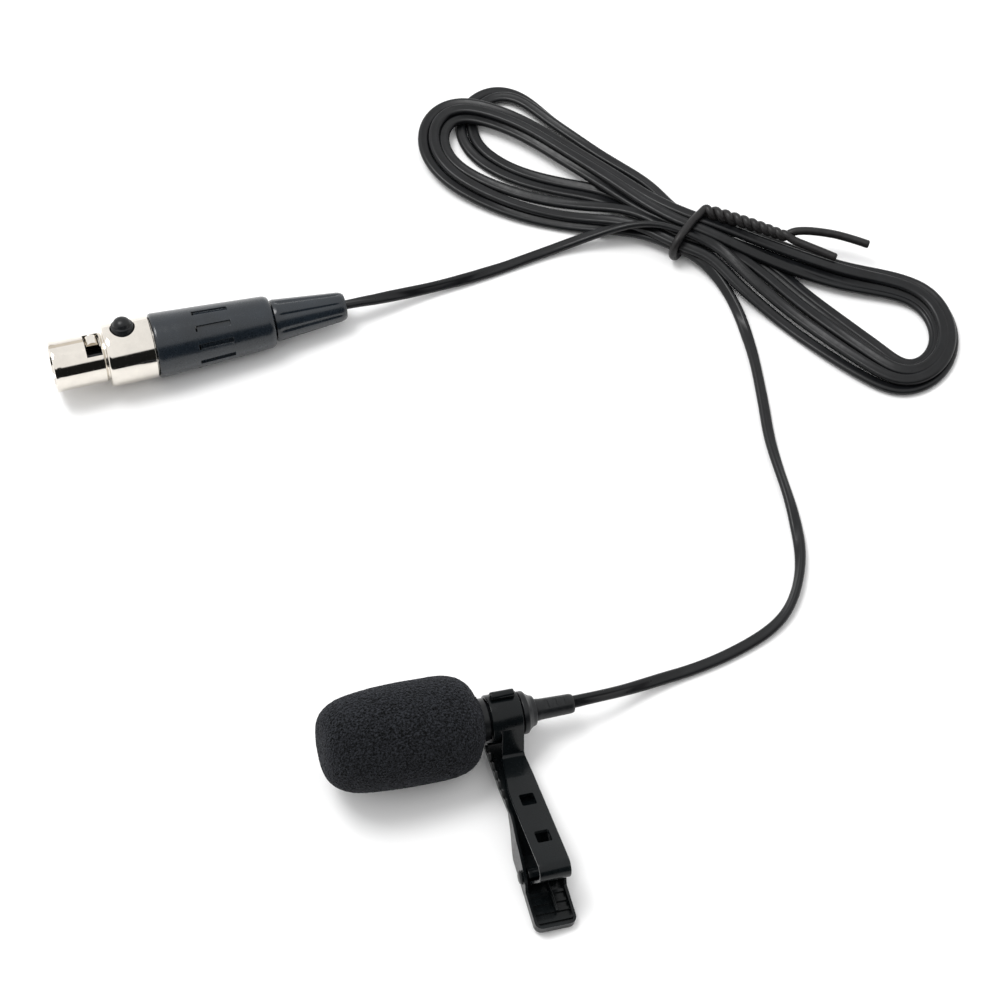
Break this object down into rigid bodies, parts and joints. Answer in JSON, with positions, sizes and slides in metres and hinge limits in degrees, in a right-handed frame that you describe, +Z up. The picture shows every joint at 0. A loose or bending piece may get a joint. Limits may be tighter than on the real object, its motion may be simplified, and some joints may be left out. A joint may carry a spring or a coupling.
{
  "type": "lavalier microphone",
  "caption": "Clip-on lavalier microphone with foam windscreen, sprung tie clip, thin twin cord tied in a hank, and a latching mini-XLR socket.",
  "frame": {"origin": "on the table, under the middle of the box that holds the microphone and its clip", "axes": "+X along the microphone towards its cord as seen from above, +Z up from the table, the clip points to -Y and the hank and connector lie on the +Y side"},
  "size_m": [0.1557, 0.1629, 0.0181],
  "materials": {
    "foam": "open-pore foam, matte charcoal",
    "black_plastic": "fine moulded satin",
    "rubber": "satin moulded rubber",
    "handle_rubber": "satin, blue-black",
    "black_steel": "black e-coat on spring steel, satin",
    "nickel": "polished nickel",
    "brass": "gold-flashed contacts",
    "felt": "acoustic felt",
    "board": "solder mask",
    "conductor": "insulated wire",
    "cord": "satin PVC twin cord",
    "tie_plastic": "matte plastic-coated wire"
  },
  "bodies": {
    "root": {"mic_housing": "black_plastic", "mic_grille": "nickel", "acoustic_felt": "felt", "electret_capsule": "nickel", "capsule_seat": "rubber", "mic_board": "board", "rear_cap": "black_plastic", "mic_strain_relief": "rubber", "connector_shell": "nickel", "socket_insert": "black_plastic", "socket_contact_1": "brass", "socket_contact_2": "brass", "socket_contact_3": "brass", "cable_clamp": "black_plastic", "handle": "handle_rubber", "flex_boot": "handle_rubber", "conductor_1": "conductor", "conductor_2": "conductor", "cord_plug_side": "cord", "cord_mic_side": "cord", "cord_hank": "cord", "hank_tie": "tie_plastic"},
    "windscreen": {"windscreen": "foam"},
    "clip": {"clip_upper": "black_steel", "clip_hinge_pin": "black_steel"},
    "jaw": {"clip_lower_jaw": "black_steel", "clip_spring": "black_steel"},
    "latch": {"latch_leaf": "nickel", "latch_button": "black_plastic"}
  },
  "joints": [
    {"name": "windscreen_pull", "type": "slide", "parent": "root", "child": "windscreen", "axis": [-0.9903, 0, 0.1392], "range_m": [0, 0.03]},
    {"name": "clip_swivel", "type": "hinge", "parent": "root", "child": "clip", "pos_m": [0.009, 0.0132, 0.0069], "axis": [0.9903, 0, -0.1392], "continuous": true},
    {"name": "jaw_open", "type": "hinge", "parent": "clip", "child": "jaw", "pos_m": [0.00839, -0.0127, 0.00254], "axis": [-0.9903, 0, 0.1392], "range_deg": [0, 18], "stiffness_Nm_per_rad": 0.15, "springref_deg": -11.46, "deforming": ["clip_spring"]},
    {"name": "latch_press", "type": "hinge", "parent": "root", "child": "latch", "pos_m": [-0.03008, 0.09911, 0.00883], "axis": [0.0308, -0.9559, 0.2919], "range_deg": [0, 5.5], "stiffness_Nm_per_rad": 0.08}
  ]
}
